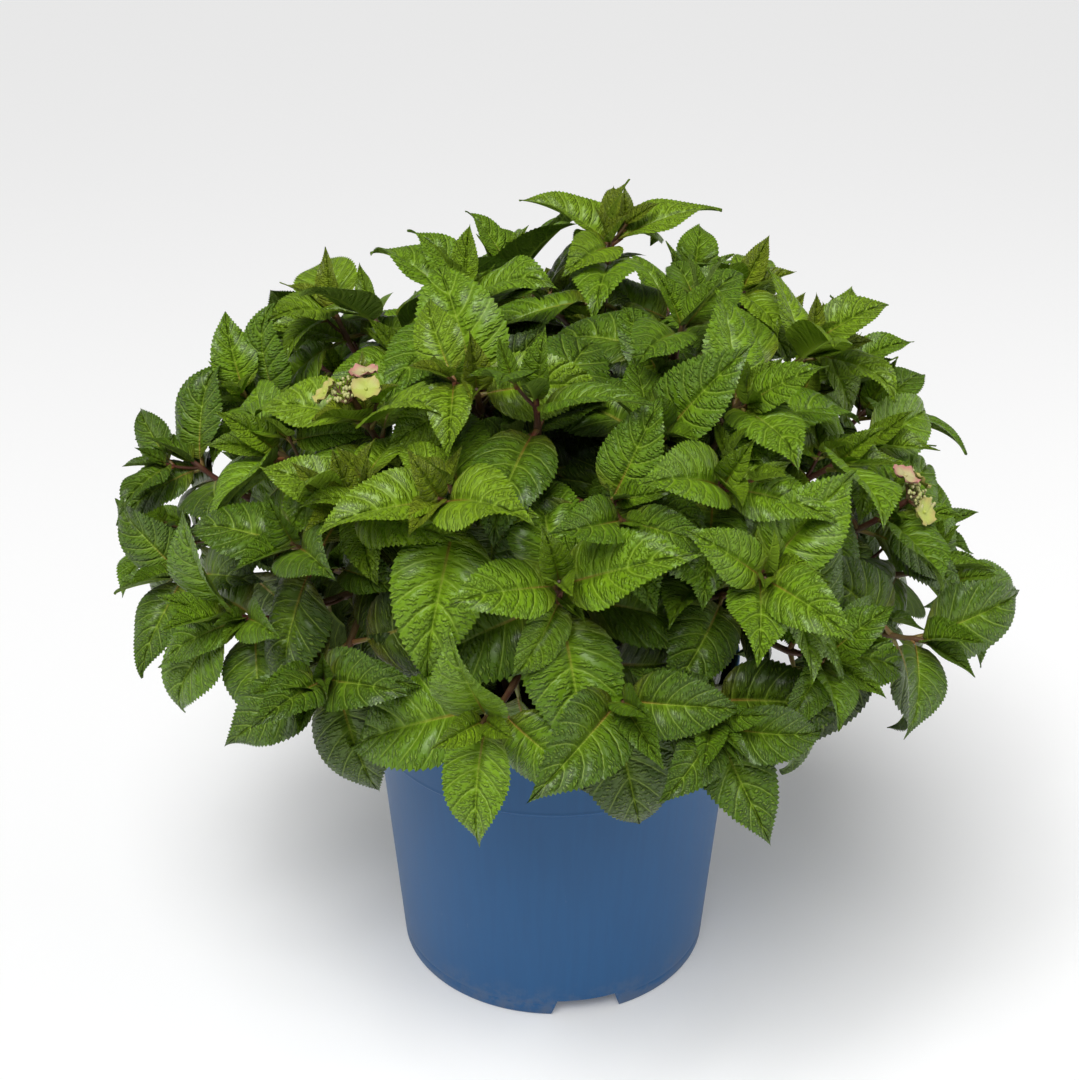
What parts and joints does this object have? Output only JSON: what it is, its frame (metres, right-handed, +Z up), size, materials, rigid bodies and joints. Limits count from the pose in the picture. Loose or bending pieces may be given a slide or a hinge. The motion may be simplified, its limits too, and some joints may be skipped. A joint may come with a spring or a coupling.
{
  "type": "potted hydrangea shrub",
  "caption": "Bushy lacecap hydrangea in a round nursery pot: canes fan from the root ball into masses of serrated opposite leaves.",
  "frame": {"origin": "centre of the pot's flat underside, on the ground", "axes": "+Z up along the pot's axis, -Y the front that faces the viewer, +X to the viewer's right"},
  "size_m": [0.5233, 0.5097, 0.4866],
  "materials": {
    "pot": "satin blue polypropylene",
    "soil": "dark damp potting mix of bark and peat",
    "bark": "reddish-brown young bark",
    "foliage": "glossy puckered green leaves on red-green stalks"
  },
  "bodies": {
    "root": {"pot": "pot", "soil": "soil", "cane_low_1": "bark", "cane_low_2": "bark", "cane_low_3": "bark", "cane_low_4": "bark", "cane_low_5": "bark", "cane_low_6": "bark", "cane_low_7": "bark", "cane_low_8": "bark", "cane_low_9": "bark", "cane_middle_1": "bark", "cane_middle_2": "bark", "cane_middle_3": "bark", "cane_middle_4": "bark", "cane_middle_5": "bark", "cane_middle_6": "bark", "cane_middle_7": "bark", "cane_top_1": "bark", "cane_top_2": "bark", "cane_top_3": "bark", "foliage_low_1": "foliage", "foliage_low_2": "foliage", "foliage_low_3": "foliage", "foliage_low_4": "foliage", "foliage_low_5": "foliage", "foliage_low_6": "foliage", "foliage_low_7": "foliage", "foliage_low_8": "foliage", "foliage_low_9": "foliage", "foliage_middle_1": "foliage", "foliage_middle_2": "foliage", "foliage_middle_3": "foliage", "foliage_middle_4": "foliage", "foliage_middle_5": "foliage", "foliage_middle_6": "foliage", "foliage_middle_7": "foliage", "foliage_top_1": "foliage", "foliage_top_2": "foliage", "foliage_top_3": "foliage"}
  },
  "joints": []
}
